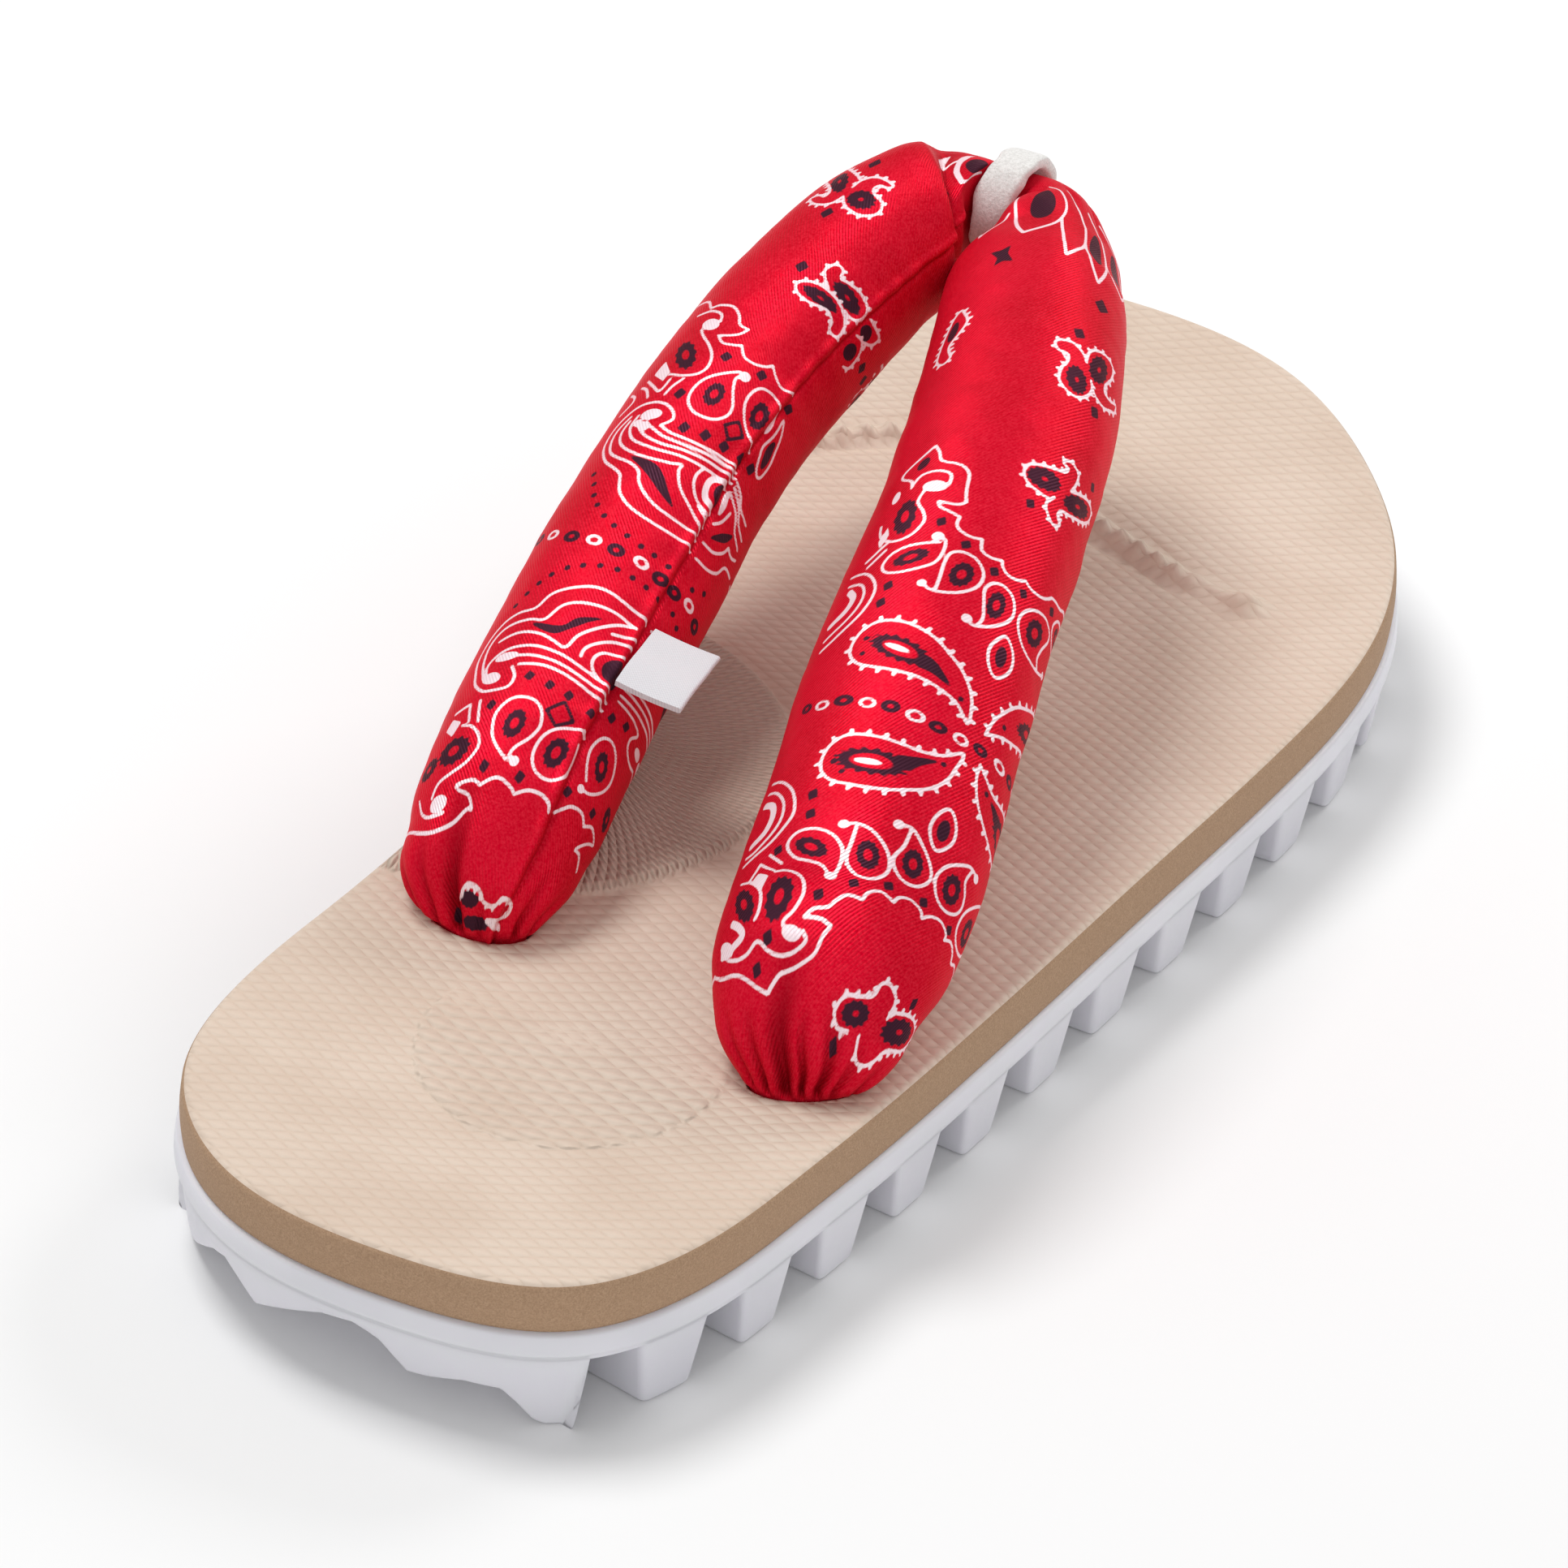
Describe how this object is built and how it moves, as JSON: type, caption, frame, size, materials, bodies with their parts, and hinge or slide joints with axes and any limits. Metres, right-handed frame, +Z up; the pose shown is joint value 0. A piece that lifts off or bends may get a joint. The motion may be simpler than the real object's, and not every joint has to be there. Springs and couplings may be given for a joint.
{
  "type": "geta sandal",
  "caption": "Padded thong sandal for the right foot, with a printed cotton tube strap, a cloth toe loop, a tan footbed and a lugged foam rubber sole.",
  "frame": {"origin": "middle of the sole's box, on the floor", "axes": "+Y from heel to toe, +X to the outer side of the right foot, +Z up"},
  "size_m": [0.1294, 0.2939, 0.0872],
  "materials": {
    "outsole": "satin foamed rubber, pale grey-lilac",
    "footbed": "matt tan foam with a fine moulded texture",
    "strap": "red cotton twill with a white and dark paisley print",
    "toe_loop": "soft off-white brushed cloth",
    "size_label": "woven white ribbon"
  },
  "bodies": {
    "root": {"outsole": "outsole", "footbed": "footbed", "strap": "strap", "toe_loop": "toe_loop", "size_label": "size_label"}
  },
  "joints": []
}
